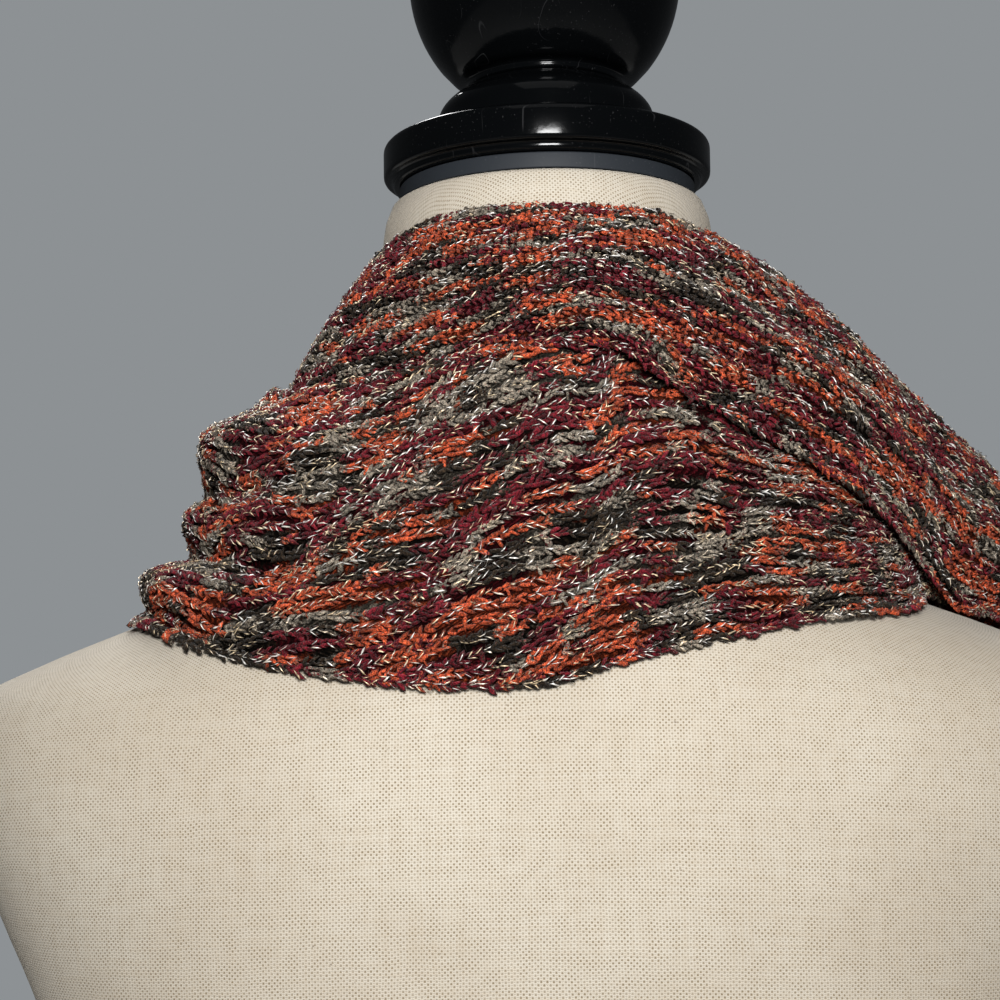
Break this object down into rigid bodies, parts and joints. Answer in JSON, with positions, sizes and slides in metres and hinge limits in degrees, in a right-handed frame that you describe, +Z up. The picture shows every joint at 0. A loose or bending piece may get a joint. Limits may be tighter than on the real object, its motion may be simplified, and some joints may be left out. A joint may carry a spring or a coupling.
{
  "type": "infinity scarf on a dress form",
  "caption": "Long knitted loop wound twice round the neck of a limbless linen dress form with a flat base and a turned neck cap",
  "frame": {"origin": "middle of the base board's underside, straight below the neck's axis", "axes": "+Z up along the neck's axis, +X the form's own right-hand side, +Y the form's chest, -Y its back"},
  "size_m": [0.3794, 0.2505, 0.802],
  "materials": {
    "knit": "open knit in space-dyed yarn of rust orange, maroon, olive black and taupe with a fine metallic thread",
    "linen": "natural plain-weave linen over a stuffed shell",
    "plate": "matt charcoal neck plate",
    "black_paint": "gloss black lacquer with light dust and fine scratches",
    "base_paint": "satin black paint"
  },
  "bodies": {
    "root": {"back_upper_wrap": "knit", "front_outer_drape": "knit", "back_lower_wrap": "knit", "front_inner_drape": "knit", "form_torso": "linen", "neck_plate": "plate", "neck_cap_disc": "black_paint", "finial_ball": "black_paint", "base_board": "base_paint"}
  },
  "joints": []
}
